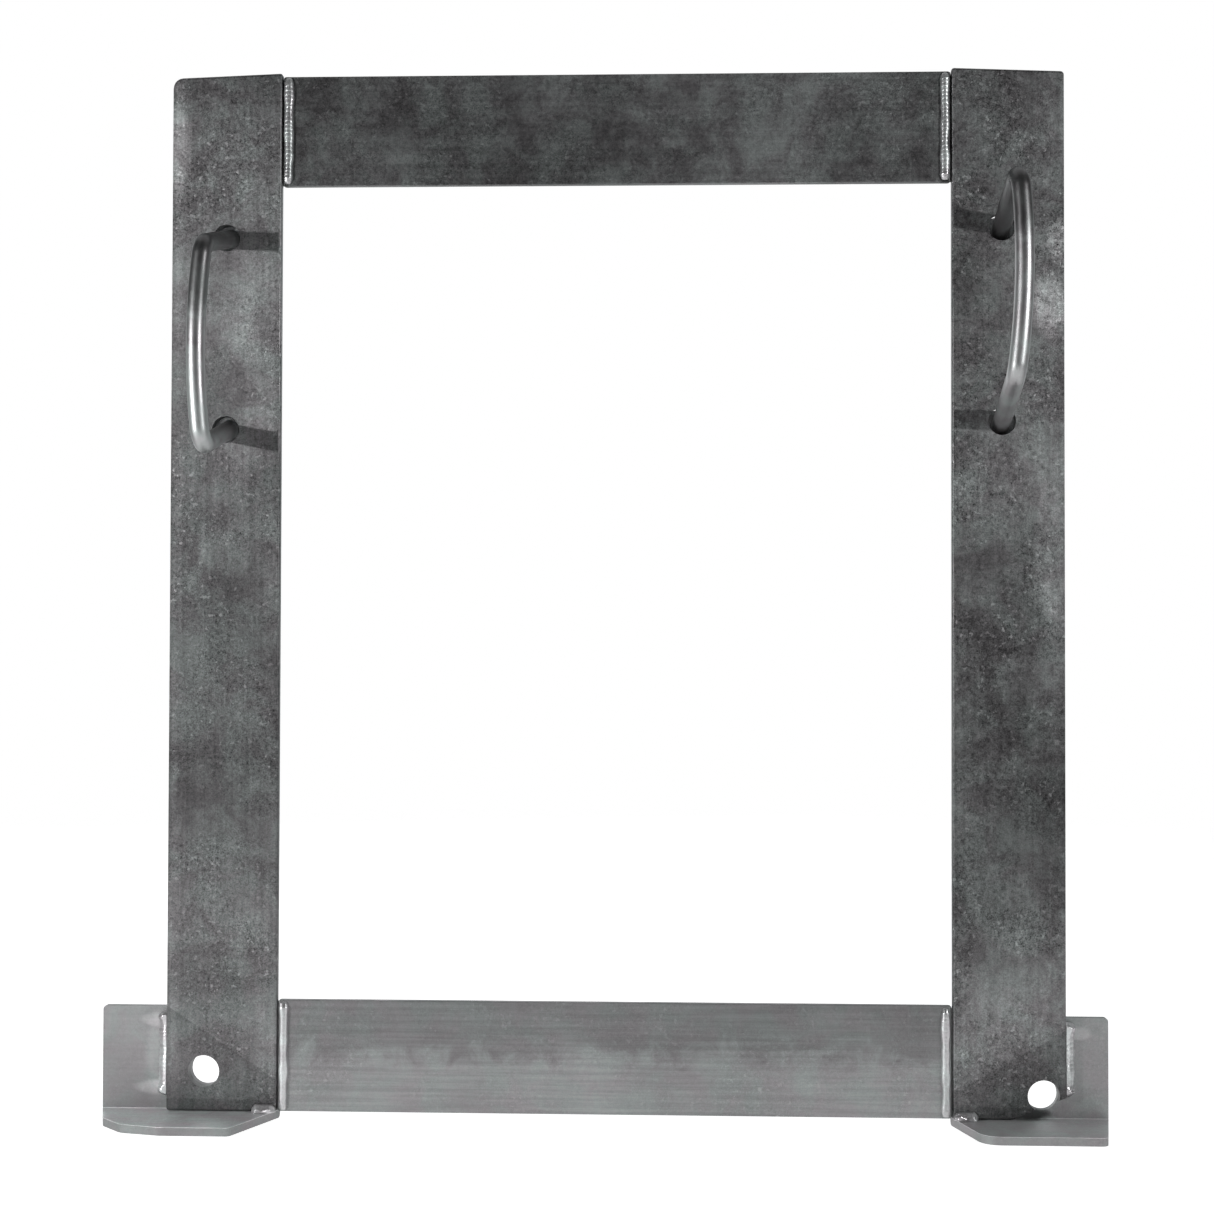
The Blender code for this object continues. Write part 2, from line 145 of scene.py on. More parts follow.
class Nodes:
    """Adds nodes to one material and links them as it goes."""

    def __init__(self, tree):
        self.tree = tree

    def add(self, kind, **values):
        node = self.tree.nodes.new(kind)
        for key, value in values.items():
            setattr(node, key, value)
        return node

    def put(self, socket, value):
        if isinstance(value, bpy.types.NodeSocket):
            self.tree.links.new(value, socket)
        else:
            socket.default_value = value

    def math(self, operation, first, second=0.0, clamp=False):
        node = self.add("ShaderNodeMath", operation=operation, use_clamp=clamp)
        self.put(node.inputs[0], first)
        self.put(node.inputs[1], second)
        return node.outputs[0]

    def field(self, name, coords, stretch=None):
        """One of the zinc's noise fields."""
        scale, detail, roughness, distortion = FIELDS[name]
        if stretch:
            mapping = self.add("ShaderNodeMapping")
            self.put(mapping.inputs["Vector"], coords)
            self.put(mapping.inputs["Scale"], stretch)
            coords = mapping.outputs[0]
        node = self.add("ShaderNodeTexNoise")
        self.put(node.inputs["Vector"], coords)
        self.put(node.inputs["Scale"], scale)
        self.put(node.inputs["Detail"], detail)
        self.put(node.inputs["Roughness"], roughness)
        self.put(node.inputs["Distortion"], distortion)
        return node.outputs["Fac"]

    def ramp(self, value, low, high, out_low=0.0, out_high=1.0):
        node = self.add("ShaderNodeMapRange", interpolation_type="SMOOTHSTEP")
        for name, number in (
            ("From Min", low),
            ("From Max", high),
            ("To Min", out_low),
            ("To Max", out_high),
        ):
            self.put(node.inputs[name], number)
        self.put(node.inputs["Value"], value)
        return node.outputs["Result"]

    def split(self, coords):
        node = self.add("ShaderNodeSeparateXYZ")
        self.put(node.inputs[0], coords)
        return node.outputs

    def mix(self, factor, first, second):
        node = self.add("ShaderNodeMix", data_type="RGBA")
        self.put(node.inputs["Factor"], factor)
        self.put(node.inputs["A"], first)
        self.put(node.inputs["B"], second)
        return node.outputs["Result"]


def grey(value, tint):
    """A tinted grey."""
    return tuple(value * t for t in tint) + (1.0,)


def add_patches(n, level, coords, blotches, patches):
    """Soft, ragged local changes of brightness: painted light and shade, and real smears."""
    for centre, size, gain in patches:
        apart = n.add("ShaderNodeVectorMath", operation="SUBTRACT")
        n.put(apart.inputs[0], coords)
        apart.inputs[1].default_value = centre
        scaled = n.add("ShaderNodeVectorMath", operation="DIVIDE")
        n.put(scaled.inputs[0], apart.outputs[0])
        scaled.inputs[1].default_value = size
        length = n.add("ShaderNodeVectorMath", operation="LENGTH")
        n.put(length.inputs[0], scaled.outputs[0])
        ragged = n.math("MULTIPLY", n.math("SUBTRACT", blotches, 0.5), 1.2)
        ragged = n.math("ADD", length.outputs["Value"], ragged)
        level = n.math("MULTIPLY", level, n.ramp(ragged, 0.55, 1.15, gain, 1.0))
    return level


def add_wedges(n, level, axes, wedges):
    """Painted shade below each slanting line: a change of brightness with an edge about 1 mm wide.
    """
    for x0, z0, x1, z1, gain in wedges:
        slope = (z1 - z0) / (x1 - x0)
        edge = n.math("MULTIPLY", n.math("SUBTRACT", axes["X"], x0), slope)
        above = n.math("SUBTRACT", axes["Z"], n.math("ADD", edge, z0))
        level = n.math("MULTIPLY", level, n.ramp(above, -0.6 * MM, 0.6 * MM, gain, 1.0))
    return level


def add_bands(n, level, axes, blotches, bands):
    """Straight stripes of painted light and shade, with slightly wavy edges."""
    for axis, middle, half_width, gain in bands:
        apart = n.math("ABSOLUTE", n.math("SUBTRACT", axes[axis], middle))
        wavy = n.math("MULTIPLY", n.math("SUBTRACT", blotches, 0.5), half_width * 2.5)
        apart = n.math("ADD", apart, wavy)
        stripe = n.ramp(apart, half_width * 0.6, half_width * 1.3, gain, 1.0)
        level = n.math("MULTIPLY", level, stripe)
    return level


def galvanised(
    name,
    base,
    offset,
    roughness=0.50,
    metallic=0.85,
    mottle=0.5,
    grit=0.5,
    speckle=0.5,
    streak=0.35,
    length_axis="Z",
    bump=0.5,
    patches=(),
    wedges=(),
    bands=(),
):
    """Galvanised steel: smooth and gritty areas, drawn streaks along the bar, specks, scratches.

    offset moves the noise, so that no two zincs match.
    patches are soft local changes of brightness, painted light and shade as well as real smears:
    (centre, size, gain), in the row frame.
    wedges are painted shade below a slanting line through two points: (x, z, x, z, gain).
    bands are straight stripes of painted light and shade: (axis, place, half width, gain).
    """
    material = bpy.data.materials.new(name)
    material.use_nodes = True
    tree = material.node_tree
    n = Nodes(tree)
    shader = tree.nodes["Principled BSDF"]
    coords = n.add("ShaderNodeTexCoord").outputs["Object"]
    shifted = n.add("ShaderNodeVectorMath", operation="ADD")
    n.put(shifted.inputs[0], coords)
    shifted.inputs[1].default_value = (offset, offset * 0.7, offset * 1.3)
    place = shifted.outputs[0]

    clouds, blotches, grain, crumbs, fine = (
        n.field(field, place) for field in ("clouds", "blotches", "grain", "crumbs", "fine")
    )
    drawn = n.field("drawn", place, DRAWN_STRETCH[length_axis])
    gritty = n.ramp(n.field("gritty", place), 0.36, 0.64)
    specks = n.ramp(n.field("specks", place), 0.62, 0.70)
    specks = n.math("MULTIPLY", specks, n.math("ADD", n.math("MULTIPLY", gritty, 0.85), 0.15))
    scratches = n.ramp(n.field("scratches", place, SCRATCH_STRETCH), 0.70, 0.735)

    # Brightness, as a share of the base grey
    level = n.ramp(clouds, 0.30, 0.70, 1 - 0.45 * mottle, 1 + 0.45 * mottle)
    mottling = n.ramp(blotches, 0.28, 0.72, 1 - 0.32 * mottle, 1 + 0.32 * mottle)
    level = n.math("MULTIPLY", level, mottling)
    rough_grain = n.math("ADD", n.math("MULTIPLY", fine, 0.8), n.math("MULTIPLY", crumbs, 0.35))
    rough_grain = n.math("SUBTRACT", n.math("ADD", grain, rough_grain), 1.075)
    depth = n.math("ADD", n.math("MULTIPLY", gritty, 2.2 * grit), 1.6 * grit)
    level = n.math("MULTIPLY", level, n.math("ADD", n.math("MULTIPLY", rough_grain, depth), 1.0))
    dulled = n.ramp(gritty, 0, 1, 1.0 + 0.12 * mottle, 1.0 - 0.16 * mottle)
    level = n.math("MULTIPLY", level, dulled)
    streaks = n.ramp(drawn, 0.30, 0.70, 1 - 0.3 * streak, 1 + 0.3 * streak)
    level = n.math("MULTIPLY", level, streaks)
    level = n.math("ADD", level, n.math("MULTIPLY", specks, 1.3 * speckle))
    level = n.math("ADD", level, n.math("MULTIPLY", scratches, 0.30 * speckle))
    axes = n.split(coords)
    level = add_patches(n, level, coords, blotches, patches)
    level = add_wedges(n, level, axes, wedges)
    level = add_bands(n, level, axes, blotches, bands)

    warm, cool = (grey(base, tint) for tint in ZINC_TINTS)
    hue = n.mix(n.ramp(blotches, 0.35, 0.65), warm, cool)
    colour = n.add("ShaderNodeVectorMath", operation="SCALE")
    n.put(colour.inputs[0], hue)
    n.put(colour.inputs["Scale"], n.math("MAXIMUM", level, ZINC_DARKEST))
    n.put(shader.inputs["Base Color"], colour.outputs[0])
    shader.inputs["Metallic"].default_value = metallic
    rough = n.ramp(blotches, 0.3, 0.7, roughness - 0.07, roughness + 0.09)
    uneven = n.math("MULTIPLY", n.math("SUBTRACT", grain, 0.5), 0.5 * grit)
    n.put(shader.inputs["Roughness"], n.math("ADD", rough, uneven, clamp=True))

    relief = n.math("MULTIPLY", grain, 0.6)
    for field, share in ((fine, 0.22), (blotches, 1.6), (drawn, 0.25), (specks, 0.5)):
        relief = n.math("ADD", relief, n.math("MULTIPLY", field, share))
    node = n.add("ShaderNodeBump")
    node.inputs["Strength"].default_value = bump
    node.inputs["Distance"].default_value = RELIEF_HEIGHT
    n.put(node.inputs["Height"], relief)
    n.put(shader.inputs["Normal"], node.outputs[0])
    return material


# ---------------------------------------------------------------- mesh helpers


def new_piece(name, mesh, material, body):
    """Links a mesh as a piece that rides on a body."""
    piece = bpy.data.objects.new(name, mesh)
    bpy.context.scene.collection.objects.link(piece)
    mesh.materials.append(material)
    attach(piece, body)
    return piece


def smooth_mesh(name, work, sharp=35):
    """Finishes a bmesh as a smooth shaded mesh."""
    bmesh.ops.recalc_face_normals(work, faces=work.faces)
    mesh = bpy.data.meshes.new(name)
    work.to_mesh(mesh)
    work.free()
    mesh.shade_smooth()
    mesh.set_sharp_from_angle(angle=math.radians(sharp))
    return mesh


def loft(rings):
    """A closed skin over rings of points, all with the same count."""
    work = bmesh.new()
    rows = [[work.verts.new(point) for point in ring] for ring in rings]
    count = len(rows[0])
    for lower, upper in zip(rows, rows[1:]):
        for i in range(count):
            j = (i + 1) % count
            work.faces.new((lower[i], lower[j], upper[j], upper[i]))
    work.faces.new(rows[0])
    work.faces.new(rows[-1])
    return work


def carry_frame(previous, tangent):
    """The ring direction after a step along a path."""
    return (previous - tangent * previous.dot(tangent)).normalized()


def shade_plate(mesh):
    """Sets normals so that broad faces stay flat and only the rounded edges turn."""
    around = [[] for _ in mesh.vertices]
    for face in mesh.polygons:
        for vertex in face.vertices:
            around[vertex].append(face)
    nearest = math.cos(SAME_FACE_ANGLE)
    normals = [None] * len(mesh.loops)
    for face in mesh.polygons:
        for i in face.loop_indices:
            total = Vector()
            for other in around[mesh.loops[i].vertex_index]:
                if other.normal.dot(face.normal) > nearest:
                    total += other.normal * other.area**2
            normals[i] = total.normalized() if total.length > 0 else face.normal
    mesh.shade_smooth()
    mesh.normals_split_custom_set(normals)


# ---------------------------------------------------------------- bars and feet


def build_plates(materials):
    """The posts, rails and feet, on the frame's own outlines, shaded as rolled bar."""
    for node, slot in PLATE_SLOTS.items():
        source = frame["nodes"][node]
        work = bmesh.new()
        work.from_mesh(source.data)
        work.transform(source.matrix_world)
        bmesh.ops.remove_doubles(work, verts=work.verts, dist=MERGE_DISTANCE)
        bmesh.ops.dissolve_degenerate(work, edges=work.edges, dist=MERGE_DISTANCE)
        mesh = bpy.data.meshes.new(f"{node}_bar")
        work.to_mesh(mesh)
        work.free()
        shade_plate(mesh)
        piece = new_piece(f"{node}_bar", mesh, materials[node], "frame")
        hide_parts(node)


# ---------------------------------------------------------------- grips


def fillet(before, corner, after, radius, steps=16):
    """Points of the arc that rounds a corner between two straight runs."""
    back = (before - corner).normalized()
    ahead = (after - corner).normalized()
    half = back.angle(ahead) / 2
    centre = corner + (back + ahead).normalized() * radius / math.sin(half)
    arm = corner + back * radius / math.tan(half) - centre
    end = corner + ahead * radius / math.tan(half) - centre
    turn = arm.rotation_difference(end)
    axis, angle = turn.to_axis_angle()
    return [centre + Matrix.Rotation(angle * i / steps, 3, axis) @ arm for i in range(steps + 1)]


def between(first, last, steps):
    """Points of a straight run, without its last one."""
    return [first.lerp(last, i / steps) for i in range(steps)]


def grip_path(side, half, leg):
    """The middle of a grip's bar from its upper end to its lower end.

    half is half the distance between the legs up the post and leg their direction, backwards.
    """
    bend = -GRIP_REACH / leg.y
    up = Vector((0, 0, half))
    ends = [up + leg * GRIP_END, up + leg * bend, leg * bend - up, leg * GRIP_END - up]
    upper = fillet(ends[0], ends[1], ends[2], GRIP_BEND_RADIUS)
    lower = fillet(ends[1], ends[2], ends[3], GRIP_BEND_RADIUS)
    points = between(ends[0], upper[0], GRIP_RUN_STEPS) + upper[:-1]
    points += between(upper[-1], lower[0], GRIP_RUN_STEPS) + lower[:-1]
    points += between(lower[-1], ends[3], GRIP_RUN_STEPS) + [ends[3]]
    middle = leg.z * bend
    path = []
    for point in points:
        height = max(-1, min(1, (point.z - middle) / half))
        reach = max(0, -point.y / GRIP_REACH)
        in_bend = max(0, 1 - (1 - reach) * GRIP_REACH / GRIP_BEND_RADIUS)
        swell = (1 - height**2) * in_bend
        out = GRIP_BOW * swell + (GRIP_TWIST[side] * height - GRIP_LEAN) * reach
        path.append(Vector((SIDES[side] * out, point.y - GRIP_ARCH * swell, point.z)))
    return path


def grip_mesh(name, path, origin):
    """A bent round bar with faintly uneven zinc and rounded ends."""
    rings = []
    direction = Vector((1, 0, 0))
    for i, point in enumerate(path):
        ahead = path[min(i + 1, len(path) - 1)]
        behind = path[max(i - 1, 0)]
        tangent = (ahead - behind).normalized()
        direction = carry_frame(direction, tangent)
        other = tangent.cross(direction)
        ring = []
        for k in range(GRIP_SIDES):
            angle = 2 * math.pi * k / GRIP_SIDES
            out = direction * math.cos(angle) + other * math.sin(angle)
            uneven = noise.noise((point + out * GRIP_RADIUS) * GRIP_UNEVEN_SCALE) * GRIP_UNEVEN
            radius = GRIP_RADIUS - GRIP_UNEVEN + uneven
            ring.append(origin + point + out * radius)
        rings.append(ring)
    for end, neighbour in ((0, 1), (-1, -2)):
        step = (path[neighbour] - path[end]).normalized()
        centre = origin + path[end]
        face = [centre + (p - centre) * GRIP_END_FACE for p in rings[end]]
        rings[end] = [p + step * GRIP_END_EASE for p in rings[end]]
        rings.insert(0 if end == 0 else len(rings), face)
    return smooth_mesh(name, loft(rings))


def turned_mesh(name, profile, place, wave=0.0):
    """A closed profile of (radius, height) turned about its own axis, which points along local Y.

    wave is how far its outer surface ripples, of its distance from the bar.
    """
    rings = []
    for k in range(TURNED_SIDES):
        angle = 2 * math.pi * k / TURNED_SIDES
        ripple = 1 + wave * math.sin(angle * 9) + wave * math.sin(angle * 5 + 1)
        ring = []
        for radius, height in profile:
            if radius > GRIP_RADIUS + MM:
                radius = GRIP_RADIUS + (radius - GRIP_RADIUS) * ripple
            point = Vector((radius * math.cos(angle), height, radius * math.sin(angle)))
            ring.append(place @ point)
        rings.append(ring)
    work = bmesh.new()
    rows = [[work.verts.new(point) for point in ring] for ring in rings]
    count = len(profile)
    for k in range(TURNED_SIDES):
        here, there = rows[k], rows[(k + 1) % TURNED_SIDES]
        for i in range(count):
            j = (i + 1) % count
            work.faces.new((here[i], here[j], there[j], there[i]))
    return smooth_mesh(name, work)


def washer_profile():
    """Section of a washer: (radius, depth) with eased outer corners."""
    bore = GRIP_RADIUS + 0.1 * MM
    edge = 0.5 * MM
    ease = 0.15 * MM
    return [
        (bore, 0),
        (WASHER_RADIUS - edge, 0),
        (WASHER_RADIUS - ease, ease),
        (WASHER_RADIUS, edge),
        (WASHER_RADIUS, WASHER_THICKNESS - edge),
        (WASHER_RADIUS - ease, WASHER_THICKNESS - ease),
        (WASHER_RADIUS - edge, WASHER_THICKNESS),
        (bore, WASHER_THICKNESS),
    ]


def ring_profile():
    """Section of the weld round a leg's end: a quarter round in the washer's corner."""
    inner = GRIP_RADIUS - 0.2 * MM
    steps = 6
    crown = [math.pi / 2 * i / steps for i in range(steps + 1)]
    size = RING_RADIUS - GRIP_RADIUS
    points = [
        (GRIP_RADIUS + size * math.cos(a), RING_THICKNESS * math.sin(a)) for a in crown
    ]
    return [(inner, 0), *points[:-1], (inner, RING_THICKNESS)]


def build_grips(materials):
    """The bent bars, their washers and the weld rings behind the posts."""
    joints = {joint["name"]: joint for joint in frame["joints"]}
    for side in SIDES:
        leg = Vector(joints[f"{side}_grip_slide"]["axis"]).normalized()
        centres = {}
        for end in ("upper", "lower"):
            low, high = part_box(f"{side}_grip_{end}_washer")
            centres[end] = (low + high) / 2
        middle = (centres["upper"] + centres["lower"]) / 2
        half = (centres["upper"] - centres["lower"]).z / 2
        origin = middle - leg * (WASHER_PLACE + WASHER_THICKNESS / 2)
        body = f"{side}_grip_set"
        mesh = grip_mesh(f"{side}_grip_bar", grip_path(side, half, leg), origin)
        bar = new_piece(f"{side}_grip_bar", mesh, materials["grip"], body)
        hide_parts(f"{side}_grip")
        turn = Vector((0, 1, 0)).rotation_difference(leg).to_matrix().to_4x4()
        for end, centre in centres.items():
            seat = Matrix.Translation(centre) @ turn
            front = seat @ Matrix.Translation((0, -WASHER_THICKNESS / 2, 0))
            name = f"{side}_{end}_washer"
            mesh = turned_mesh(name, washer_profile(), front)
            piece = new_piece(name, mesh, materials["washer"], body)
            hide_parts(f"{side}_grip_{end}_washer")
            back = seat @ Matrix.Translation((0, WASHER_THICKNESS / 2 - 0.05 * MM, 0))
            name = f"{side}_{end}_weld_ring"
            mesh = turned_mesh(name, ring_profile(), back, wave=0.05)
            piece = new_piece(name, mesh, materials["weld"], body)
            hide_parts(f"{side}_grip_{end}_weld")


# ---------------------------------------------------------------- weld beads


def bead_mesh(name, node, along, across, out, in_corner, seed):
    """A rippled bead in the box of its CAD node, sunk a little into the bars behind it.

    along, across and out are the row directions of its length, its width and its crown. A bead
    in a corner fills the corner at the low end of the last two.
    """
    low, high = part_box(node)
    middle = (low + high) / 2
    size = high - low
    along, across, out = Vector(along), Vector(across), Vector(out)
    length = abs(size.dot(along))
    width = abs(size.dot(across))
    height = abs(size.dot(out))
    root = middle - across * width / 2 - out * height / 2 - along * length / 2
    rows = int(length / BEAD_STEP)
    rings = []
    for i in range(rows + 1):
        run = i / rows * length
        end_gap = min(run, length - run)
        taper = min(1.0, max(0.0, end_gap) / BEAD_TAPER) ** 0.5
        key = Vector((seed * 3.7, seed * 1.3, run * 120))
        slow = noise.noise(key)
        wander = noise.noise(key * 0.6 + Vector((9, 0, 0)))
        ring = []
        for k in range(BEAD_COLUMNS + 1):
            u = -1 + 2 * k / BEAD_COLUMNS
            phase = (run + noise.noise(key * 1.7) * 0.8 * MM) / BEAD_PITCH + 0.55 * u * u
            tooth = phase - math.floor(phase)
            ripple = 1 - 0.05 * (tooth**2) - 0.05 * (1 - slow)
            if in_corner:
                angle = math.pi / 2 * (k / BEAD_COLUMNS)
                knob = BEAD_KNOB * math.exp(-(((end_gap - BEAD_TAPER) / BEAD_KNOB_WIDTH) ** 2))
                reach = 0.78 + 0.10 * abs(math.cos(2 * angle)) + 0.10 * slow + knob
                radius = reach * ripple * (0.35 + 0.65 * taper)
                x = min(width, radius * width * math.cos(angle) / 0.84)
                y = min(height, radius * height * math.sin(angle) / 0.84)
            else:
                side = math.sqrt(max(0.0, 1 - abs(u) ** 2.3))
                reach = (0.74 + 0.22 * slow) * (0.45 + 0.55 * taper)
                x = width / 2 * (1 + u * reach + 0.10 * wander)
                y = height * 0.97 * side * ripple * (0.2 + 0.8 * taper)
            ring.append(root + along * run + across * x + out * y)
        if in_corner:
            ring.append(root + along * run - across * SINK - out * SINK)
        else:
            ring.append(ring[-1] - out * SINK)
            ring.append(ring[0] - out * SINK)
        rings.append(ring)
    return smooth_mesh(name, loft(rings), sharp=60)


def build_beads(material):
    """Every weld bead of the frame and the feet."""
    seed = 1
    for side, sign in SIDES.items():
        jobs = []
        for end in ("top", "bottom"):
            jobs.append((f"{end}_{side}_front_weld", (0, 0, 1), (1, 0, 0), (0, -1, 0), False))
            jobs.append((f"{end}_{side}_back_weld", (0, 0, 1), (1, 0, 0), (0, 1, 0), False))
        jobs.append((f"{side}_foot_side_weld", (0, 0, 1), (sign, 0, 0), (0, -1, 0), True))
        jobs.append((f"{side}_foot_rear_weld", (1, 0, 0), (0, 1, 0), (0, 0, 1), True))
        jobs.append((f"{side}_foot_toe_weld", (1, 0, 0), (0, -1, 0), (0, 0, 1), True))
        for node, along, across, out, in_corner in jobs:
            seed += 1
            mesh = bead_mesh(f"{node}_bead", node, along, across, out, in_corner, seed)
            bead = new_piece(f"{node}_bead", mesh, material, "frame")
            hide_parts(node)


# ---------------------------------------------------------------- materials


def build_materials():
    """One zinc for each kind of bar, and the brighter ones of the grips and welds."""
    low_x, high_x = (corner.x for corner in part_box("top_rail"))
    toe_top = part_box("left_foot_toe_weld")[0].z - CAD_GAP
    post_left = FRAME_MIDDLE - POST_OFFSET
    post_right = FRAME_MIDDLE + POST_OFFSET
    return {
        "left_post": galvanised(
            "left_post_zinc",
            0.160,
            offset=1.0,
            mottle=0.7,
            grit=0.75,
            speckle=0.9,
            patches=(
                # Painted shade: the middle of the post darker.
                ((post_left, 0, 0.235), (0.06, 1, 0.09), 0.74),
                ((post_left, 0, 0.150), (0.06, 1, 0.05), 0.79),
                ((post_left - 0.028, 0, 0.53), (0.008, 1, 0.03), 1.7),
                # Painted light: the upper part of the post lighter, round the grip.
                ((post_left, 0, 0.455), (0.07, 1, 0.14), 1.25),
                # Painted light reflected from the grip, between its legs.
                ((post_left + 0.017, 0, 0.42), (0.02, 1, 0.055), 1.3),
                # Painted light: the lower end of the post lighter, lit from below.
                ((post_left, 0, 0.034), (0.07, 1, 0.038), 1.42),
            ),
            wedges=(
                # Painted shade: the post darker below a slanting line above the foot's toe.
                (post_left - 0.030, 0.0615, post_left + 0.029, 0.0225, 0.74),
                # Painted shade: a dark strip along the post's lower end, just above the toe.
                (post_left - 0.030, 0.0115, post_left + 0.029, 0.0110, 0.80),
            ),
            # Painted highlight: a lighter stripe just inside the post's outer edge.
            bands=(("X", post_left - 26.0 * MM, 2.6 * MM, 1.22),),
        ),
        "right_post": galvanised(
            "right_post_zinc",
            0.163,
            offset=2.3,
            mottle=0.75,
            grit=0.75,
            speckle=0.8,
            patches=(
                # Painted shade: the middle of the post darker.
                ((post_right, 0, 0.165), (0.06, 1, 0.09), 0.68),
                ((post_right + 0.022, 0, 0.30), (0.010, 1, 0.05), 1.35),
                ((post_right + 0.022, 0, 0.44), (0.010, 1, 0.018), 2.0),
                ((post_right + 0.026, 0, 0.475), (0.006, 1, 0.012), 2.0),
                # Painted light reflected from the grip, between its legs.
                ((post_right, 0, 0.40), (0.05, 1, 0.06), 1.12),
                # Painted light: the lower end of the post lighter, lit from below.
                ((post_right, 0, 0.040), (0.07, 1, 0.045), 1.2),
            ),
            wedges=(
                # Painted shade: the post darker below a slanting line above the foot's toe.
                (post_right + 0.030, 0.0524, post_right - 0.0275, 0.0201, 0.76),
                # Painted shade: a dark strip along the post's lower end, just above the toe.
                (post_right + 0.030, 0.0115, post_right - 0.0275, 0.0110, 0.85),
            ),
        ),
        "top_rail": galvanised(
            "top_rail_zinc",
            0.17,
            offset=3.1,
            mottle=0.6,
            speckle=0.35,
            length_axis="X",
            # Painted shade in the undercuts beside the weld beads at the rail's ends.
            bands=(
                ("X", low_x + 2.0 * MM, 1.6 * MM, 0.35),
                ("X", high_x - 3.0 * MM, 2.4 * MM, 0.22),
            ),
        ),
        "bottom_rail": galvanised(
            "bottom_rail_zinc",
            # Painted light: twice the top rail's grey, as the bottom rail is lit from below.
            0.34,
            offset=4.7,
            mottle=0.2,
            grit=0.16,
            speckle=0.15,
            length_axis="X",
            # Painted shade: the upper half of the rail darker, so it lightens towards the bottom.
            bands=(("Z", 0.058, 0.022, 0.72),),
        ),
        "left_foot": galvanised(
            "left_foot_zinc",
            0.30,
            offset=5.9,
            metallic=0.7,
            mottle=0.2,
            grit=0.12,
            speckle=0.1,
            streak=0.1,
            length_axis="X",
            patches=(
                ((post_left - 0.037, 0.03, 0.0165), (0.011, 0.02, 0.0042), 1.5),
                ((post_left - 0.036, 0.03, 0.0530), (0.010, 0.02, 0.0040), 1.35),
                ((post_left - 0.036, 0.03, 0.0340), (0.007, 0.02, 0.0260), 1.25),
            ),
            # Painted light: the toe's top face lighter.
            bands=(("Z", toe_top, 0.25 * MM, 2.9),),
        ),
        "right_foot": galvanised(
            "right_foot_zinc",
            0.33,
            offset=9.9,
            metallic=0.7,
            mottle=0.2,
            grit=0.14,
            speckle=0.1,
            streak=0.1,
            length_axis="X",
            patches=(
                # Painted shadow in the gap under the post's cut corner, beside the bolt hole.
                ((post_right + 0.012, 0.0294, 0.0066), (0.0125, 0.010, 0.0040), 0.22),
                ((post_right + 0.037, 0.03, 0.0500), (0.008, 0.02, 0.0040), 1.35),
            ),
            # Painted light: the toe's top face lighter.
            bands=(("Z", toe_top, 0.25 * MM, 2.0),),
        ),
        "grip": galvanised(
            "grip_zinc",
            0.42,
            offset=6.2,
            roughness=0.42,
            metallic=1.0,
            mottle=0.2,
            grit=0.03,
            speckle=0.0,
            streak=0.1,
            bump=0.01,
            patches=(
                # Painted reflection: the upper ends of the grips darker, reflecting the dark room
                # above.
                ((post_left, -0.03, 0.456), (0.03, 0.09, 0.034), 0.42),
                ((post_right, -0.03, 0.492), (0.03, 0.09, 0.030), 0.40),
            ),
        ),
        "washer": galvanised("washer_zinc", 0.4, offset=7.4, roughness=0.34, mottle=0.3),
        "weld": galvanised(
            "weld_zinc",
            0.6,
            offset=8.8,
            roughness=0.36,
            mottle=0.5,
            grit=0.2,
            speckle=0.1,
            bump=0.22,
        ),
    }


# ---------------------------------------------------------------- stage, light and camera


def area_light(name, place, target, size, power):
    """A rectangular soft light that faces its target."""
    data = bpy.data.lights.new(name, "AREA")
    data.shape = "RECTANGLE"
    data.size, data.size_y = size
    data.energy = power
    light = bpy.data.objects.new(name, data)
    bpy.context.scene.collection.objects.link(light)
    light.location = place
    light.rotation_euler = (Vector(target) - Vector(place)).to_track_quat("-Z", "Y").to_euler()
    return light


def build_stage():
    """A pale floor that fades into a pale surround."""
    work = bmesh.new()
    bmesh.ops.create_circle(work, cap_ends=True, segments=96, radius=FLOOR_RADIUS)
    mesh = bpy.data.meshes.new("floor")
    work.to_mesh(mesh)
    work.free()
    floor = bpy.data.objects.new("floor", mesh)
    bpy.context.scene.collection.objects.link(floor)
    floor.location = (0, 0, -FLOOR_DROP)
    floor.visible_shadow = False
    material = bpy.data.materials.new("floor_pale")
    material.use_nodes = True
    n = Nodes(material.node_tree)
    shader = material.node_tree.nodes["Principled BSDF"]
    output = material.node_tree.nodes["Material Output"]
    shader.inputs["Base Color"].default_value = (0.86, 0.86, 0.86, 1)
    shader.inputs["Roughness"].default_value = 0.9
    coords = n.add("ShaderNodeTexCoord").outputs["Object"]
    length = n.add("ShaderNodeVectorMath", operation="LENGTH")
    n.put(length.inputs[0], coords)
    fade = n.ramp(length.outputs["Value"], *FLOOR_FADE)
    seen = n.add("ShaderNodeLightPath").outputs["Is Camera Ray"]
    shader.inputs["Emission Color"].default_value = (1, 1, 1, 1)
    given = n.ramp(length.outputs["Value"], *FLOOR_DIM, FLOOR_GLOW, 0.1 * FLOOR_GLOW)
    glow = n.add("ShaderNodeMix", data_type="FLOAT")
    n.put(glow.inputs["Factor"], seen)
    n.put(glow.inputs["A"], given)
    n.put(glow.inputs["B"], FLOOR_WHITE)
    n.put(shader.inputs["Emission Strength"], glow.outputs["Result"])
    clear = n.add("ShaderNodeBsdfTransparent")
    blend = n.add("ShaderNodeMixShader")
    n.put(blend.inputs[0], fade)
    n.put(blend.inputs[1], shader.outputs[0])
    n.put(blend.inputs[2], clear.outputs[0])
    n.put(output.inputs["Surface"], blend.outputs[0])
    mesh.materials.append(material)


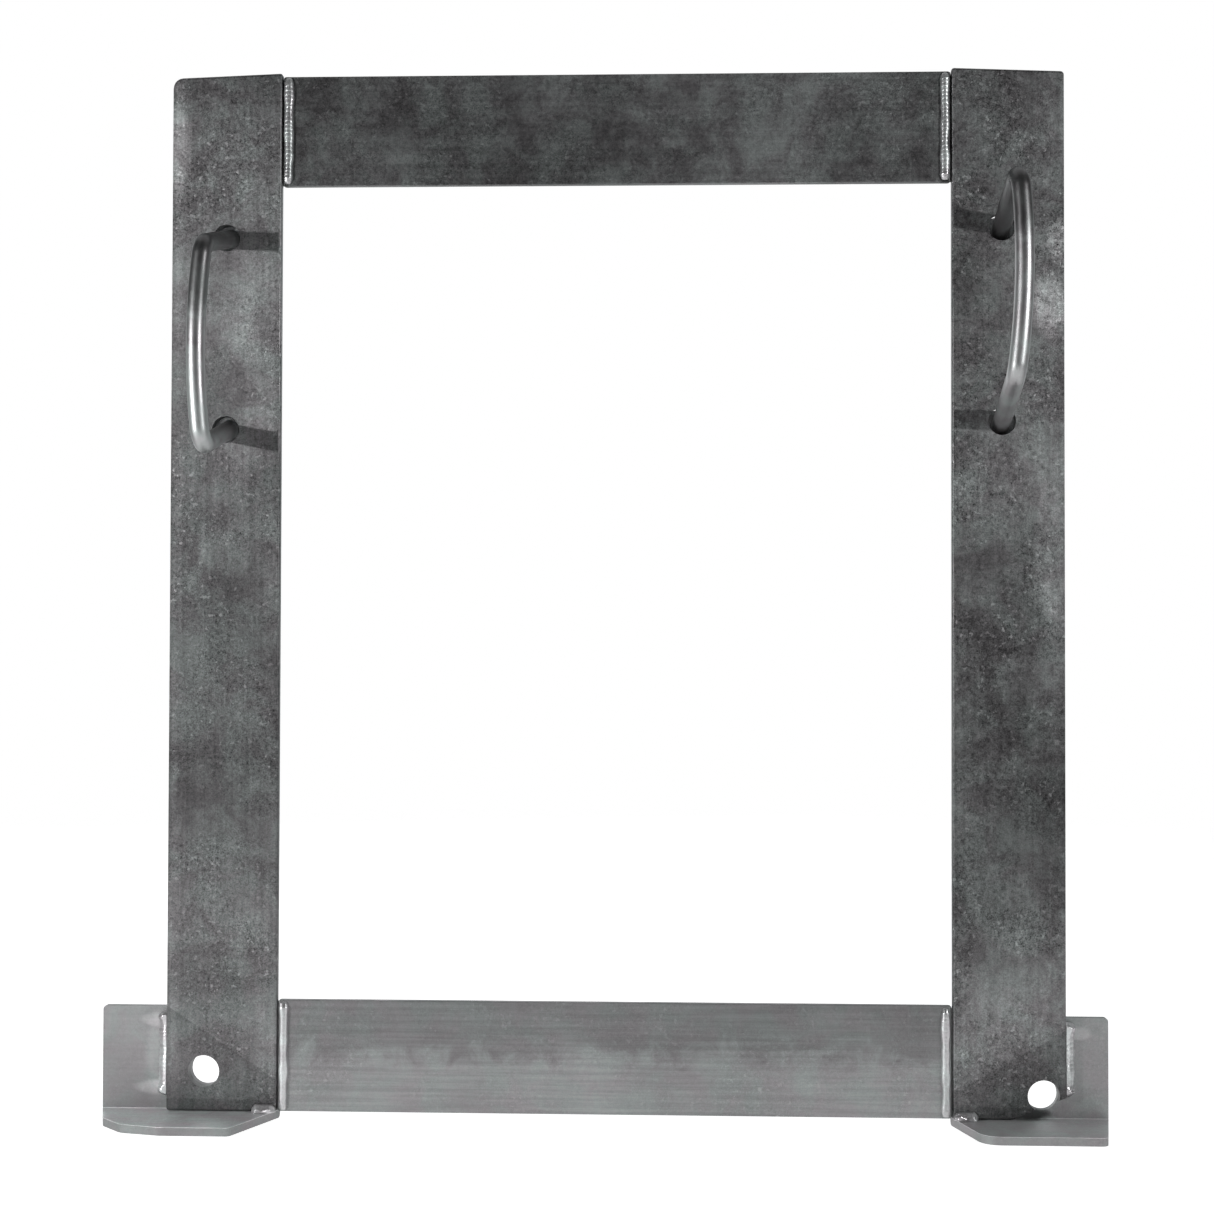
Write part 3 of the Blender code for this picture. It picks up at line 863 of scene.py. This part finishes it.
def build_world():
    """White to the eye, and a dim grey room to the metal."""
    world = bpy.data.worlds.new("studio")
    bpy.context.scene.world = world
    world.use_nodes = True
    n = Nodes(world.node_tree)
    background = world.node_tree.nodes["Background"]
    output = world.node_tree.nodes["World Output"]
    direction = n.add("ShaderNodeTexCoord").outputs["Generated"]
    axes = n.split(direction)
    upward = n.ramp(axes["Z"], -0.15, 0.22, ROOM_LOW, ROOM_HIGH)
    behind = n.ramp(axes["Y"], 0.0, 0.8, 0.0, ROOM_BEHIND)
    n.put(background.inputs["Strength"], n.math("ADD", upward, behind))
    background.inputs["Color"].default_value = (0.95, 1.0, 1.0, 1)
    white = n.add("ShaderNodeBackground")
    white.inputs["Color"].default_value = (1, 1, 1, 1)
    white.inputs["Strength"].default_value = 1.0
    path = n.add("ShaderNodeLightPath")
    blend = n.add("ShaderNodeMixShader")
    n.put(blend.inputs[0], path.outputs["Is Camera Ray"])
    n.put(blend.inputs[1], background.outputs[0])
    n.put(blend.inputs[2], white.outputs[0])
    n.put(output.inputs["Surface"], blend.outputs[0])


def build_lights():
    """A small lamp on each side in front, a soft one overhead and one behind."""
    area_light("left_lamp", (-0.92, -0.70, 0.345), (-0.1, 0, 0.3), (0.05, 0.05), 6.7)
    area_light("right_lamp", (0.98, -0.75, 0.58), (0.1, 0, 0.3), (0.05, 0.05), 5.4)
    area_light("top_lamp", (0.0, 0.3, 1.6), (0.0, 0.0, 0.0), (2.0, 1.4), 3)
    area_light("back_lamp", (-0.5, 1.8, 0.5), (0.0, 0.0, 0.3), (1.6, 1.2), 5)


def build_camera():
    """The camera at the photograph's angle."""
    data = bpy.data.cameras.new("camera")
    data.sensor_width = 36
    data.lens = CAMERA_LENS
    data.clip_start = 0.01
    camera = bpy.data.objects.new("camera", data)
    bpy.context.scene.collection.objects.link(camera)
    look = (
        Matrix.Rotation(CAMERA_YAW, 4, "Z")
        @ Matrix.Rotation(CAMERA_PITCH, 4, "X")
        @ Matrix.Rotation(CAMERA_ROLL, 4, "Y")
        @ Matrix.Rotation(math.pi / 2, 4, "X")
    )
    camera.matrix_world = Matrix.Translation(CAMERA_PLACE) @ look
    bpy.context.scene.camera = camera


bpy.context.scene.view_settings.view_transform = "Standard"
materials = build_materials()
build_plates(materials)
build_grips(materials)
build_beads(materials["weld"])
build_stage()
build_world()
build_lights()
build_camera()
